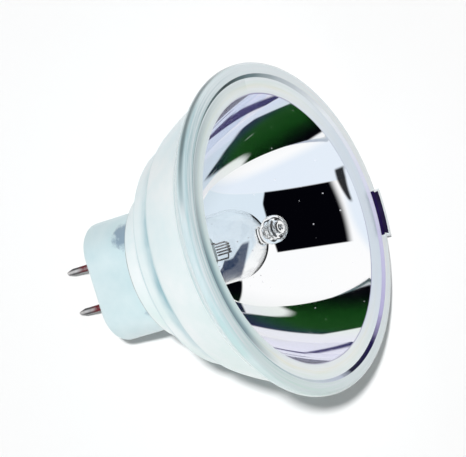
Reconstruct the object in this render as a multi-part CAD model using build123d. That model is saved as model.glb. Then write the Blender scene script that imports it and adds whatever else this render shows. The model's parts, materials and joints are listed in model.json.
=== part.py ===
"""Halogen reflector lamp: an open pressed-glass reflector with a quartz capsule cemented into its
neck and two bare contact pins. It is modelled about its optical axis, with the rim's front face at
zero height and the mouth upwards, and is then laid down as it comes to rest on a table: on the back
of its rim and on one flat of its neck."""

from build123d import *
from math import asin, atan2, degrees, hypot, radians, sqrt, tan
import os

# Sizes are in millimetres. A depth runs back along the optical axis from the rim's front face.

# Rim of the reflector
RIM_DIAMETER = 50.0
RIM_EDGE = 1.4
RIM_FLARE_DEPTH = 3.6
RIM_FRONT_ROUND = 0.7
RIM_BACK_ROUND = 1.0
RIM_ROOT_ROUND = 4.0
LAND_WIDTH = 2.3
LAND_STEP = 0.35
CHAMFER_WIDTH = 2.5
CHAMFER_DEPTH = 0.2

# Locating pad on the rim's front, a little round from the middle of the flat
PAD_LENGTH = 7.0
PAD_WIDTH = 1.8
PAD_HEIGHT = 0.6
PAD_TURN = 5.0

# Mirror: an ellipsoid with one focus in the filament and the other at the working point
FILAMENT_DEPTH = 12.9
WORKING_DISTANCE = 50.8

# Bowl wall, thicker towards the back
WALL_AT_SIDE = 3.1
WALL_AT_BACK = 5.8

# Stepped shoulders between the bowl and the neck, placed from the deepest point of the mirror's curve
BOWL_END_RISE = 8.4
FRONT_STEP_RISE = 4.1
BACK_STEP_DROP = 1.9
FRONT_STEP_LEDGE = 1.11291
BACK_STEP_LEDGE = 0.95
STEP_DRAFT = 15.0
STEP_EDGE_ROUND = 0.9
STEP_ROOT_ROUND = 0.4

# Neck with two flats, the round throat that leads into it and the slot through it
THROAT_CLEARANCE = 1.2
THROAT_LENGTH = 2.5
NECK_LENGTH = 11.6
NECK_WIDTH = 18.3
NECK_THICKNESS = 11.6
NECK_CORNER = 5.0
NECK_END_ROUND = 0.8
NECK_ROOT_ROUND = 0.7
SLOT_WIDTH = 12.6
SLOT_THICKNESS = 7.4
SLOT_CORNER = 3.2

# Quartz capsule
CAPSULE_DIAMETER = 10.6
CAPSULE_WALL = 0.9
CAPSULE_ABOVE_COIL = 7.1
CAPSULE_BELOW_COIL = 7.3
CAPSULE_BASE_ROUND = 3.4
CAPSULE_FLOOR = 2.0
TIP_DIAMETER = 4.2
TIP_STEM_LENGTH = 0.9
TIP_STEM_DIAMETER = 2.4
TIP_ROOT_ROUND = 0.9
SEAL_LENGTH = 8.8
SEAL_WIDTH = 8.6
SEAL_THICKNESS = 2.8
SEAL_EDGE_ROUND = 0.6

# Flat tungsten coil
COIL_TURNS = 5
COIL_PITCH = 0.42
COIL_HEIGHT = 2.0
COIL_THICKNESS = 0.9
COIL_WIRE = 0.24
COIL_BEND = 0.3
COIL_LEG = 2.6

# Leads, foils and pins
LEAD_DIAMETER = 0.6
FOIL_WIDTH = 2.7
FOIL_THICKNESS = 0.06
FOIL_TOP_INSET = 0.8
FOIL_END_INSET = 2.2
FOIL_SPACING = 4.2
PIN_SPACING = 6.35
PIN_DIAMETER = 1.0
PIN_SHANK_DIAMETER = 0.7
PIN_LENGTH = 8.0
PIN_TIP_LENGTH = 1.2
PIN_TIP_DIAMETER = 0.4

# Cement filling
CEMENT_RISE = 0.7
CEMENT_RECESS = 0.6

# Sizes that follow from those above
rim_radius = RIM_DIAMETER / 2
mouth_radius = rim_radius - LAND_WIDTH - CHAMFER_WIDTH
mouth_depth = LAND_STEP + CHAMFER_DEPTH
mirror_centre = (WORKING_DISTANCE - FILAMENT_DEPTH) / 2
mirror_focus = (WORKING_DISTANCE + FILAMENT_DEPTH) / 2
mirror_axial = (
    hypot(mouth_radius, FILAMENT_DEPTH - mouth_depth) + hypot(mouth_radius, WORKING_DISTANCE + mouth_depth)
) / 2
mirror_radial = sqrt(mirror_axial**2 - mirror_focus**2)
bowl_axial = mirror_axial + WALL_AT_BACK
bowl_radial = mirror_radial + WALL_AT_SIDE
mirror_vertex_depth = mirror_axial - mirror_centre
bowl_end_depth = mirror_vertex_depth - BOWL_END_RISE
front_step_depth = mirror_vertex_depth - FRONT_STEP_RISE
back_step_depth = mirror_vertex_depth + BACK_STEP_DROP
back_step_radius = NECK_WIDTH / 2 + NECK_ROOT_ROUND + STEP_EDGE_ROUND + BACK_STEP_LEDGE
step_slope = tan(radians(STEP_DRAFT))
neck_end_depth = back_step_depth + NECK_LENGTH
capsule_radius = CAPSULE_DIAMETER / 2
capsule_top_depth = FILAMENT_DEPTH - CAPSULE_ABOVE_COIL
capsule_base_depth = FILAMENT_DEPTH + CAPSULE_BELOW_COIL
seal_end_depth = capsule_base_depth + SEAL_LENGTH
throat_radius = capsule_radius + THROAT_CLEARANCE
mirror_end_depth = mirror_axial * sqrt(1 - (throat_radius / mirror_radial) ** 2) - mirror_centre
slot_start_depth = mirror_end_depth + THROAT_LENGTH
cement_top_depth = slot_start_depth - CEMENT_RISE
cement_end_depth = neck_end_depth - CEMENT_RECESS
coil_half_length = COIL_TURNS * COIL_PITCH / 2
coil_leg_end_depth = FILAMENT_DEPTH + COIL_HEIGHT / 2 + COIL_LEG
foil_top_depth = capsule_base_depth + FOIL_TOP_INSET
foil_end_depth = seal_end_depth - FOIL_END_INSET
pin_tip_depth = neck_end_depth + PIN_LENGTH


def ellipse_angle(depth, axial):
    """Angle on an ellipse about the mirror's centre at which it reaches a depth."""
    return degrees(asin((-depth - mirror_centre) / axial))


def ellipse_radius(depth, radial, axial):
    """Radius of an ellipse about the mirror's centre at a depth."""
    return radial * sqrt(1 - ((depth + mirror_centre) / axial) ** 2)


def ellipse_arc(near_depth, far_depth, radial, axial):
    """Stretch of an ellipse about the mirror's centre, between two depths."""
    start = ellipse_angle(far_depth, axial)
    end = ellipse_angle(near_depth, axial)
    return EllipticalCenterArc((0, mirror_centre), radial, axial, start, arc_size=end - start)


def round_corners(face, radius, *corners):
    """Round the corners of a flat face that lie nearest to the given points."""
    vertices = [face.vertices().sort_by_distance((x, y, 0))[0] for x, y in corners]
    return fillet(vertices, radius)


def turned(face):
    """Solid of revolution of a half section drawn as radius and height."""
    return revolve(Plane.XZ * face, Axis.Z)


def prism(section, top_depth, end_depth):
    """Straight prism of a section between two depths."""
    return extrude(Pos(0, 0, -end_depth) * section, end_depth - top_depth)


def rod(diameter, top_depth, end_depth, x):
    """Round rod along the axis between two depths."""
    return Pos(x, 0, 0) * prism(Circle(diameter / 2), top_depth, end_depth)


def bowl_outside():
    """Rim, bowl and stepped shoulders as one solid of revolution, before hollowing."""
    flare_radius = ellipse_radius(RIM_FLARE_DEPTH, bowl_radial, bowl_axial)
    bowl_end_radius = ellipse_radius(bowl_end_depth, bowl_radial, bowl_axial)
    back_root = back_step_radius + (back_step_depth - front_step_depth) * step_slope
    front_root = bowl_end_radius - FRONT_STEP_LEDGE
    front_step_radius = front_root - (front_step_depth - bowl_end_depth) * step_slope
    rim = Polyline((0, 0), (rim_radius, 0), (rim_radius, -RIM_EDGE), (flare_radius, -RIM_FLARE_DEPTH))
    bowl = ellipse_arc(RIM_FLARE_DEPTH, bowl_end_depth, bowl_radial, bowl_axial)
    steps = Polyline(
        (bowl_end_radius, -bowl_end_depth),
        (front_root, -bowl_end_depth),
        (front_step_radius, -front_step_depth),
        (back_root, -front_step_depth),
        (back_step_radius, -back_step_depth),
        (0, -back_step_depth),
        (0, 0),
    )
    section = make_face(rim.edges() + bowl.edges() + steps.edges())
    section = round_corners(section, RIM_FRONT_ROUND, (rim_radius, 0))
    section = round_corners(section, RIM_BACK_ROUND, (rim_radius, -RIM_EDGE))
    section = round_corners(section, RIM_ROOT_ROUND, (flare_radius, -RIM_FLARE_DEPTH))
    section = round_corners(
        section,
        STEP_EDGE_ROUND,
        (bowl_end_radius, -bowl_end_depth),
        (front_step_radius, -front_step_depth),
        (back_step_radius, -back_step_depth),
    )
    section = round_corners(
        section, STEP_ROOT_ROUND, (front_root, -bowl_end_depth), (back_root, -front_step_depth)
    )
    return turned(section)


def bowl_inside():
    """Space inside the land, the chamfer and the mirror."""
    land_radius = rim_radius - LAND_WIDTH
    front = Polyline(
        (0, PAD_HEIGHT), (land_radius, PAD_HEIGHT), (land_radius, -LAND_STEP), (mouth_radius, -mouth_depth)
    )
    mirror = ellipse_arc(mouth_depth, mirror_end_depth, mirror_radial, mirror_axial)
    back = Polyline((throat_radius, -mirror_end_depth), (0, -mirror_end_depth), (0, PAD_HEIGHT))
    return turned(make_face(front.edges() + mirror.edges() + back.edges()))


def neck_bore():
    """Space behind the mirror: the round throat and the slot through the neck."""
    slot = RectangleRounded(SLOT_WIDTH, SLOT_THICKNESS, SLOT_CORNER)
    throat = prism(Circle(throat_radius), mirror_end_depth, slot_start_depth)
    return throat + prism(slot, slot_start_depth, neck_end_depth)


def make_reflector():
    """Pressed-glass reflector with its neck, rim pad, mirror hollow and neck slot."""
    neck = prism(RectangleRounded(NECK_WIDTH, NECK_THICKNESS, NECK_CORNER), bowl_end_depth, neck_end_depth)
    neck = fillet(neck.edges().group_by(Axis.Z)[0], NECK_END_ROUND)
    body = bowl_outside() + neck
    root = [edge for edge in body.edges() if abs(edge.center().Z + back_step_depth) < NECK_ROOT_ROUND / 10]
    root = [edge for edge in root if hypot(edge.center().X, edge.center().Y) < NECK_WIDTH / 2]
    body = fillet(root, NECK_ROOT_ROUND)
    pad_box = Pos(0, PAD_WIDTH - rim_radius, PAD_HEIGHT) * Box(
        PAD_LENGTH, PAD_WIDTH * 2, RIM_FRONT_ROUND + PAD_HEIGHT, align=(Align.CENTER, Align.MAX, Align.MAX)
    )
    pad = pad_box & prism(Circle(rim_radius), -PAD_HEIGHT, RIM_EDGE)
    return body + Rot(Z=-PAD_TURN) * pad - (bowl_inside() + neck_bore())


def capsule_section(radius, top_depth, base_depth, base_round):
    """Half section of a round-topped bulb: a dome, straight sides and a rounded base."""
    sides = Polyline(
        (radius, -top_depth - radius), (radius, -base_depth), (0, -base_depth), (0, -top_depth)
    )
    dome = CenterArc((0, -top_depth - radius), radius, 0, 90)
    return round_corners(make_face(sides.edges() + dome.edges()), base_round, (radius, -base_depth))


def press_seal():
    """Flattened foot of the capsule, from inside its base to its end."""
    seal = RectangleRounded(SEAL_WIDTH, SEAL_THICKNESS, SEAL_EDGE_ROUND)
    return prism(seal, capsule_base_depth - CAPSULE_FLOOR / 2, seal_end_depth)


def capsule_outside():
    """Capsule before hollowing: the bulb, its seal-off tip and the press seal."""
    stem_radius = TIP_STEM_DIAMETER / 2
    tip_radius = TIP_DIAMETER / 2
    dome_foot_depth = capsule_top_depth + capsule_radius - sqrt(capsule_radius**2 - stem_radius**2)
    tip_centre_depth = dome_foot_depth - TIP_STEM_LENGTH - sqrt(tip_radius**2 - stem_radius**2)
    half_plane = Rectangle(TIP_DIAMETER, TIP_DIAMETER, align=(Align.MIN, Align.CENTER))
    ball = Pos(0, -tip_centre_depth) * (Circle(tip_radius) & half_plane)
    stem_end_depth = capsule_top_depth + CAPSULE_WALL / 2
    stem = Pos(0, -stem_end_depth) * Rectangle(
        stem_radius, stem_end_depth - tip_centre_depth, align=(Align.MIN, Align.MIN)
    )
    bulb = capsule_section(capsule_radius, capsule_top_depth, capsule_base_depth, CAPSULE_BASE_ROUND)
    section = round_corners(bulb + stem + ball, TIP_ROOT_ROUND, (stem_radius, -dome_foot_depth))
    return turned(section) + press_seal()


def make_capsule(enclosed):
    """Hollow quartz capsule, moulded round the enclosed pieces."""
    inside = capsule_section(
        capsule_radius - CAPSULE_WALL,
        capsule_top_depth + CAPSULE_WALL,
        capsule_base_depth - CAPSULE_FLOOR,
        CAPSULE_BASE_ROUND - CAPSULE_WALL,
    )
    capsule = capsule_outside() - turned(inside)
    for piece in enclosed:
        capsule -= piece
    return capsule


def make_filament():
    """Flat coil wound along the pin direction, with a straight leg at each end."""
    top = COIL_HEIGHT / 2 - FILAMENT_DEPTH
    bottom = -COIL_HEIGHT / 2 - FILAMENT_DEPTH
    side = COIL_THICKNESS / 2
    quarter = COIL_PITCH / 4
    route = [(-coil_half_length, 0, -coil_leg_end_depth), (-coil_half_length, 0, bottom)]
    for turn in range(COIL_TURNS):
        x = -coil_half_length + turn * COIL_PITCH
        route += [(x + quarter, -side, top), (x + 2 * quarter, side, top)]
        if turn < COIL_TURNS - 1:
            route += [(x + 3 * quarter, side, bottom), (x + 4 * quarter, -side, bottom)]
    route += [(coil_half_length, 0, bottom), (coil_half_length, 0, -coil_leg_end_depth)]
    path = FilletPolyline(*route, radius=COIL_BEND)
    section = Plane(origin=route[0], z_dir=(0, 0, 1)) * Circle(COIL_WIRE / 2)
    return sweep(section, path=path)


def make_lead(side):
    """Rod that carries one leg of the coil down to its foil."""
    return rod(LEAD_DIAMETER, coil_leg_end_depth, foil_top_depth, side * coil_half_length)


def make_foil(side):
    """Thin foil sealed into the quartz between a lead and a pin."""
    foil = Rectangle(FOIL_WIDTH, FOIL_THICKNESS)
    return Pos(side * FOIL_SPACING / 2, 0, 0) * prism(foil, foil_top_depth, foil_end_depth)


def make_pin(side):
    """Contact pin with a thinner shank in the seal and the cement, and a tapered tip."""
    x = side * PIN_SPACING / 2
    shank = rod(PIN_SHANK_DIAMETER, foil_end_depth, cement_end_depth, x)
    shaft = rod(PIN_DIAMETER, cement_end_depth, pin_tip_depth - PIN_TIP_LENGTH, x)
    tip = Pos(x, 0, -pin_tip_depth) * Cone(
        PIN_TIP_DIAMETER / 2, PIN_DIAMETER / 2, PIN_TIP_LENGTH, align=(Align.CENTER, Align.CENTER, Align.MIN)
    )
    return shank + shaft + tip


def make_cement(set_in):
    """Ceramic filling of the throat and the neck slot round what is set in it."""
    cement = neck_bore() & prism(Circle(rim_radius), cement_top_depth, cement_end_depth)
    for piece in set_in:
        cement -= piece
    return cement


def resting_lean():
    """Angle between the optical axis and the table, from the two rounded edges that touch it."""
    flare_radius = ellipse_radius(RIM_FLARE_DEPTH, bowl_radial, bowl_axial)
    flare_turn = atan2(rim_radius - flare_radius, RIM_FLARE_DEPTH - RIM_EDGE)
    rim_depth = RIM_EDGE - RIM_BACK_ROUND * tan(flare_turn / 2)
    run = neck_end_depth - NECK_END_ROUND - rim_depth
    rise = rim_radius - RIM_BACK_ROUND - (NECK_THICKNESS / 2 - NECK_END_ROUND)
    return degrees(atan2(rise, run) + asin((RIM_BACK_ROUND - NECK_END_ROUND) / hypot(rise, run)))


leads = {"lead_left": make_lead(-1), "lead_right": make_lead(1)}
foils = {"foil_left": make_foil(-1), "foil_right": make_foil(1)}
pins = {"contact_pin_left": make_pin(-1), "contact_pin_right": make_pin(1)}
capsule = make_capsule([*leads.values(), *foils.values(), *pins.values()])
lamp = {
    "reflector": make_reflector(),
    "capsule": capsule,
    "filament": make_filament(),
    **leads,
    **foils,
    **pins,
    "cement": make_cement([capsule_outside(), *pins.values()]),
}

# Lay the lamp down: mouth towards -Y, pins apart along X, and the middle of its footprint at the origin
lean = resting_lean()
leaning = {name: Rot(X=90 - lean) * piece for name, piece in lamp.items()}
box = Compound(list(leaning.values())).bounding_box()
to_table = Pos(-box.center().X, -box.center().Y, -box.min.Z)
print("lean", round(lean, 3), "shift", [round(v, 4) for v in to_table.position])

os.makedirs("parts", exist_ok=True)
for name, piece in leaning.items():
    export_step(to_table * piece, f"parts/{name}.step")
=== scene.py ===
import json
from math import acos, asin, atan2, cos, degrees, pi, radians, sin, sqrt, tan

import bmesh
import bpy
from mathutils import Matrix, Vector, noise


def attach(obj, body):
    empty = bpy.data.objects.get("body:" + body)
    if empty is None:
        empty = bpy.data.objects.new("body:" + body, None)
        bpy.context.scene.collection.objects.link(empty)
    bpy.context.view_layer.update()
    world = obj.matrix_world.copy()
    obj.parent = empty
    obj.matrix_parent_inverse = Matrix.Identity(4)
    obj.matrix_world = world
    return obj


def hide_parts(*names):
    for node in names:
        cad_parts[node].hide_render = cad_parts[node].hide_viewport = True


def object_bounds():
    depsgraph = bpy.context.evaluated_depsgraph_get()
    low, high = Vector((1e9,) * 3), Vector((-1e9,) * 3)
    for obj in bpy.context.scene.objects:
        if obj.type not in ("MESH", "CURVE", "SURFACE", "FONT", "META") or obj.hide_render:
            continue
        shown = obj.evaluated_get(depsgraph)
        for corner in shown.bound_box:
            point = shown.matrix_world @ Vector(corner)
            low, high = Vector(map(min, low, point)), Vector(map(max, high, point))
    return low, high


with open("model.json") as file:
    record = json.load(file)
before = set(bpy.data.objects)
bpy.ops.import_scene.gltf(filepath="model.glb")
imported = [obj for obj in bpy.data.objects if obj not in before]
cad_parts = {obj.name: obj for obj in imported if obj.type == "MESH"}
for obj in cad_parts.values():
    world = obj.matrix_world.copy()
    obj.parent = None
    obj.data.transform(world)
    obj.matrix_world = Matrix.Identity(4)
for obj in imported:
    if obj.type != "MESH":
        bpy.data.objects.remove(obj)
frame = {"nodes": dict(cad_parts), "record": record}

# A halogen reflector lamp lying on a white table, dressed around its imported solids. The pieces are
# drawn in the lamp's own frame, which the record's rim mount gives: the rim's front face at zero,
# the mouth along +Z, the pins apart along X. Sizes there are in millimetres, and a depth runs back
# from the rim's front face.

cad_low, cad_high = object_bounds()
MM = 0.001
COLUMNS = 256
SMALLEST_CORNER = 0.02
TOLERANCE = 1e-6
SIDES = ((-1, "left"), (1, "right"))

# Reflector
RIM_RADIUS = (cad_high.x - cad_low.x) / 2 / MM
RIM_EDGE = 1.4
RIM_FLARE_DEPTH = 3.6
RIM_FRONT_ROUND = 0.7
RIM_BACK_ROUND = 1.0
RIM_ROOT_ROUND = 4.0
LAND_WIDTH = 2.3
LAND_STEP = 0.35
LAND_STEP_RUN = 0.42
LAND_ROOT_ROUND = 0.14
LAND_EDGE_ROUND = 0.12
LAND_ROUND_RINGS = 5
CHAMFER_WIDTH = 2.5
CHAMFER_DEPTH = 0.2
PAD_COLUMNS = 6
PAD_MIDDLE_COLUMN = COLUMNS * 3 // 4
PAD_MERGE_DIGITS = 4
PAD_WIDTH = 1.8
PAD_HEIGHT = 0.55
PAD_TURN = radians(5.0)
PAD_BORDER = 0.28
PAD_OUTER_BORDER = 0.6
PAD_EDGE = 0.08
FILAMENT_DEPTH = 12.9
WORKING_DISTANCE = 50.8
WALL_AT_SIDE = 3.1
WALL_AT_BACK = 5.8
BOWL_END_RISE = 8.4
FRONT_STEP_RISE = 4.1
BACK_STEP_DROP = 1.9
FRONT_STEP_SHARE = 0.81
BACK_STEP_RADIUS = 11.7
STEP_SLOPE = tan(radians(15.0))
STEP_EDGE_ROUND = 0.9
STEP_ROOT_ROUND = 0.4
THROAT_RADIUS = 6.5
THROAT_LENGTH = 2.5
NECK = (9.15, 5.8, 5.0)
NECK_LENGTH = 11.6
NECK_END_ROUND = 0.8
NECK_ROOT_ROUND = 0.7
SLOT = (6.3, 3.7, 3.2)
SLOT_END_ROUND = 0.25
BOWL_RINGS = 24
NECK_RINGS = 8
MIRROR_RINGS = 90
BEVEL_RINGS = 6

# Material zones of the reflector
BOWL_ZONE, RIM_ZONE, BEVEL_ZONE, MIRROR_ZONE, PAD_ZONE, GROOVE_ZONE = range(6)

# Capsule
CAPSULE_RADIUS = 5.3
CAPSULE_WALL = 0.2
CAPSULE_TOP_DEPTH = 5.8
CAPSULE_BASE_DEPTH = 20.2
CAPSULE_BASE_ROUND = 3.4
CAPSULE_FLOOR = 2.0
CAPSULE_POLE = 0.2
DOME_RINGS = 30
DOME_FIRST_ANGLE = 87
BASE_RINGS = 10
TIP_RADIUS = 2.1
TIP_STEM_RADIUS = 1.2
TIP_STEM_LENGTH = 0.9
TIP_ROOT_ROUND = 0.9
TIP_LEAN = 0.5
TIP_RINGS = 40
TIP_FIRST_ANGLE = 88
TIP_HOLLOW_RADIUS = 1.2
TIP_HOLLOW_FIRST_ANGLE = 4
TIP_RIPPLE = 0.07
TIP_RIPPLES = 9
SEAL = (4.3, 1.4, 0.6)
SEAL_END_DEPTH = 29.0
SEAL_TOP_ROUND = 0.4
SEAL_END_ROUND = 0.3
SEAL_END_INSET = 0.7
SEAL_ROUND_RINGS = 4

# Coil, leads and contacts
COIL_TURNS = 5
COIL_PITCH = 0.42
COIL_HEIGHT = 2.0
COIL_THICKNESS = 0.9
COIL_WIRE = 0.24
COIL_BEND = 0.3
COIL_LEG = 2.6
COIL_LEG_BEND = (0.2, 0.6)
COIL_HOOK = 0.55
COIL_HOOK_BEND = 0.5
COIL_HOOK_TOP = (0.9, 0.2)
LEAD_RADIUS = 0.3
LEAD_STEPS = 6
FOIL_TOP_DEPTH = 21.0
FOIL_END_DEPTH = 26.8
PIN_X = 3.175
PIN_RADIUS = 0.5
PIN_ROOT_ROUND = 0.06
PIN_SHANK_RADIUS = 0.35
PIN_LENGTH = 8.0
PIN_TIP_LENGTH = 1.2
PIN_TIP_RADIUS = 0.2
PIN_TIP_SHOULDER = 0.9
PIN_TIP_ROUND = 0.12
PIN_TIP_END = 0.02
PIN_COLUMNS = 32

# Cement
CEMENT_RISE = 0.7
CEMENT_RECESS = 0.6
CEMENT_RINGS = 24
CEMENT_DISH = 0.16
CEMENT_GRAIN = 0.11
CEMENT_GRAIN_SCALE = 1.3
CEMENT_GRAIN_DETAIL = (0.8, 2.0, 4)
CEMENT_CLIMB = 0.16
CEMENT_CLIMB_REACH = 0.9

# Places that follow from those sizes
land_radius = RIM_RADIUS - LAND_WIDTH
mouth_radius = land_radius - CHAMFER_WIDTH
mouth_depth = LAND_STEP + CHAMFER_DEPTH
mirror_centre = (WORKING_DISTANCE - FILAMENT_DEPTH) / 2
mirror_focus = (WORKING_DISTANCE + FILAMENT_DEPTH) / 2
mirror_axial = (
    sqrt(mouth_radius**2 + (FILAMENT_DEPTH - mouth_depth) ** 2)
    + sqrt(mouth_radius**2 + (WORKING_DISTANCE + mouth_depth) ** 2)
) / 2
mirror_radial = sqrt(mirror_axial**2 - mirror_focus**2)
bowl_axial = mirror_axial + WALL_AT_BACK
bowl_radial = mirror_radial + WALL_AT_SIDE
mirror_vertex_depth = mirror_axial - mirror_centre
bowl_end_depth = mirror_vertex_depth - BOWL_END_RISE
front_step_depth = mirror_vertex_depth - FRONT_STEP_RISE
back_step_depth = mirror_vertex_depth + BACK_STEP_DROP
neck_end_depth = back_step_depth + NECK_LENGTH
mirror_end_depth = mirror_axial * sqrt(1 - (THROAT_RADIUS / mirror_radial) ** 2) - mirror_centre
slot_start_depth = mirror_end_depth + THROAT_LENGTH
dome_foot_depth = CAPSULE_TOP_DEPTH + CAPSULE_RADIUS - sqrt(CAPSULE_RADIUS**2 - TIP_STEM_RADIUS**2)
tip_ball_foot = sqrt(TIP_RADIUS**2 - TIP_STEM_RADIUS**2)
tip_centre_depth = dome_foot_depth - TIP_STEM_LENGTH - tip_ball_foot
coil_half_length = COIL_TURNS * COIL_PITCH / 2
coil_leg_end_depth = FILAMENT_DEPTH + COIL_HEIGHT / 2 + COIL_LEG
cement_top_depth = slot_start_depth - CEMENT_RISE
cement_end_depth = neck_end_depth - CEMENT_RECESS

# The lamp's own frame, from the mount on its rim
rim_mount = next(mount for mount in frame["record"]["mounts"] if mount["name"] == "rim")
rim_centre = Vector(rim_mount["pos_m"])
mouth_axis = Vector(rim_mount["axis"]).normalized()
pin_axis = Vector((1, 0, 0))
flat_axis = mouth_axis.cross(pin_axis)
lamp_turn = Matrix((pin_axis, flat_axis, mouth_axis)).transposed()
lamp_place = Matrix.Translation(rim_centre) @ lamp_turn.to_4x4()


# Sections and meshes


def ellipse_radius(depth, radial, axial):
    """Radius of an ellipse about the mirror's centre at a depth."""
    return radial * sqrt(1 - ((depth + mirror_centre) / axial) ** 2)


def ellipse_between(first_depth, last_depth, radial, axial, steps):
    """Points on an ellipse between two depths, without its ends, evenly spaced by angle."""
    first = asin((first_depth + mirror_centre) / axial)
    last = asin((last_depth + mirror_centre) / axial)
    points = []
    for step in range(1, steps):
        angle = first + (last - first) * step / steps
        points.append((radial * cos(angle), mirror_centre - axial * sin(angle), 0))
    return points


def arc_between(centre, radius, first, last, steps):
    """Points on a circular arc of a half section, ends included, with angles in degrees."""
    points = []
    for step in range(steps + 1):
        angle = radians(first + (last - first) * step / steps)
        points.append((centre[0] + radius * cos(angle), centre[1] + radius * sin(angle), 0))
    return points


def rounded(points, steps=6):
    """Half section through (radius, height, round) points, with an arc at each corner that has a round."""
    section = [(Vector(point[:2]), point[2]) for point in points]
    path = []
    skip_until = None
    for i, (corner, size) in enumerate(section):
        if not size:
            if skip_until is None or (corner - skip_until[0]).length > skip_until[1]:
                path.append(corner)
                skip_until = None
            continue
        back = (section[i - 1][0] - corner).normalized()
        ahead = (section[(i + 1) % len(section)][0] - corner).normalized()
        half = acos(max(-1.0, min(1.0, back.dot(ahead)))) / 2
        reach = size / tan(half)
        while path and (path[-1] - corner).length < reach:
            path.pop()
        centre = corner + (back + ahead).normalized() * size / sin(half)
        first = corner + back * reach - centre
        last = corner + ahead * reach - centre
        turn = atan2(first.x * last.y - first.y * last.x, first.dot(last))
        for step in range(steps + 1):
            angle = turn * step / steps
            swung = Vector((
                first.x * cos(angle) - first.y * sin(angle),
                first.x * sin(angle) + first.y * cos(angle),
            ))
            path.append(centre + swung)
        skip_until = (corner, reach)
    return path


def outline_radius(outline, angle):
    """Distance from the axis to a rounded rectangle (half width, half thickness, corner) at an angle."""
    half_width, half_thickness, corner = outline
    along, across = abs(cos(angle)), abs(sin(angle))
    if along * (half_thickness - corner) >= across * half_width:
        return half_width / along
    if across * (half_width - corner) >= along * half_thickness:
        return half_thickness / across
    middle = Vector((half_width - corner, half_thickness - corner))
    towards = middle.x * along + middle.y * across
    return towards + sqrt(max(0.0, towards**2 - middle.length_squared + corner**2))


def ring(outline, height):
    """One ring of points round the axis, on a rounded rectangle."""
    points = []
    for column in range(COLUMNS):
        angle = 2 * pi * column / COLUMNS - PAD_TURN
        distance = outline_radius(outline, angle)
        points.append((distance * cos(angle), distance * sin(angle), height))
    return points


def round_ring(radius, height):
    """One ring of points on a circle round the axis."""
    return ring((radius, radius, radius), height)


def grown(outline, by):
    """A rounded rectangle offset outwards, or inwards with its corners kept a little round."""
    half_width, half_thickness, corner = outline
    return half_width + by, half_thickness + by, max(corner + by, SMALLEST_CORNER)


def band(bm, near, far, zones, smooth=True):
    """Faces between two loops, each with its material zone. Neighbours in a loop may be one vertex."""
    for i, zone in enumerate(zones):
        j = (i + 1) % len(zones)
        corners = list(dict.fromkeys((near[i], near[j], far[j], far[i])))
        if len(corners) > 2:
            face = bm.faces.new(corners)
            face.material_index = zone
            face.smooth = smooth


def closed_loft(bm, rings, zones):
    """Faces between neighbouring rings and from the last to the first, with a material zone for each gap."""
    made = [[bm.verts.new(point) for point in points] for points in rings]
    for gap, zone in enumerate(zones):
        band(bm, made[gap], made[(gap + 1) % len(made)], [zone] * COLUMNS)
    return made


def capped_loft(bm, rings):
    """Faces between neighbouring rings, with both ends closed to a point on the axis."""
    made = [[bm.verts.new(point) for point in points] for points in rings]
    for near, far in zip(made, made[1:]):
        band(bm, near, far, [0] * COLUMNS)
    for end in (0, -1):
        pole = bm.verts.new((0, 0, rings[end][0][2]))
        band(bm, made[end], [pole] * COLUMNS, [0] * COLUMNS)


def placed(name, mesh, materials, replaced, sharp=None):
    """A finished piece from a mesh in the lamp's frame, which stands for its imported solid."""
    mesh.transform(lamp_place)
    for material in materials:
        mesh.materials.append(material)
    if sharp is not None:
        mesh.set_sharp_from_angle(angle=radians(sharp))
    piece = bpy.data.objects.new(name, mesh)
    bpy.context.scene.collection.objects.link(piece)
    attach(piece, "root")
    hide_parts(replaced)


def mesh_from(bm, name):
    """Mesh in metres from a drawing in millimetres."""
    mesh = bpy.data.meshes.new(name)
    bmesh.ops.scale(bm, vec=(MM, MM, MM), verts=bm.verts)
    bm.to_mesh(mesh)
    bm.free()
    return mesh


def piece_from(bm, name, materials, replaced, sharp):
    """A finished piece from one closed surface."""
    bmesh.ops.recalc_face_normals(bm, faces=bm.faces)
    placed(name, mesh_from(bm, name), materials, replaced, sharp)


# Node helpers


def put(tree, socket, value):
    """Link a socket to another one, or set its plain value."""
    if isinstance(value, bpy.types.NodeSocket):
        tree.links.new(value, socket)
    else:
        socket.default_value = value


def add(tree, kind, settings=None, **inputs):
    """A new node with its settings, and inputs by name (spaces as underscores) or by number (i0, i1)."""
    node = tree.nodes.new(kind)
    for key, value in (settings or {}).items():
        setattr(node, key, value)
    for key, value in inputs.items():
        numbered = key[0] == "i" and key[1:].isdigit()
        put(tree, node.inputs[int(key[1:]) if numbered else key.replace("_", " ")], value)
    return node


def maths(tree, operation, *values, clamp=False):
    """Result of one maths node."""
    node = add(tree, "ShaderNodeMath", {"operation": operation, "use_clamp": clamp})
    for socket, value in zip(node.inputs, values):
        put(tree, socket, value)
    return node.outputs[0]


def vectors(tree, operation, **inputs):
    """Vector result of one vector maths node."""
    return add(tree, "ShaderNodeVectorMath", {"operation": operation}, **inputs).outputs["Vector"]


def measured(tree, operation, **inputs):
    """Length or distance from one vector maths node."""
    return add(tree, "ShaderNodeVectorMath", {"operation": operation}, **inputs).outputs["Value"]


def spanned(tree, value, low, high, first=0.0, last=1.0, smooth=False):
    """A value between two limits, carried over to a first and a last value."""
    settings = {"interpolation_type": "SMOOTHSTEP"} if smooth else None
    return add(tree, "ShaderNodeMapRange", settings, i0=value, i1=low, i2=high, i3=first, i4=last).outputs[0]


def clouds(tree, place, scale, detail, roughness=0.5):
    """Smooth noise at a place."""
    return add(
        tree, "ShaderNodeTexNoise", Vector=place, Scale=scale, Detail=detail, Roughness=roughness
    ).outputs[0]


def split(tree, place):
    """The X, Y and Z of a place."""
    return add(tree, "ShaderNodeSeparateXYZ", Vector=place).outputs


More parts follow.
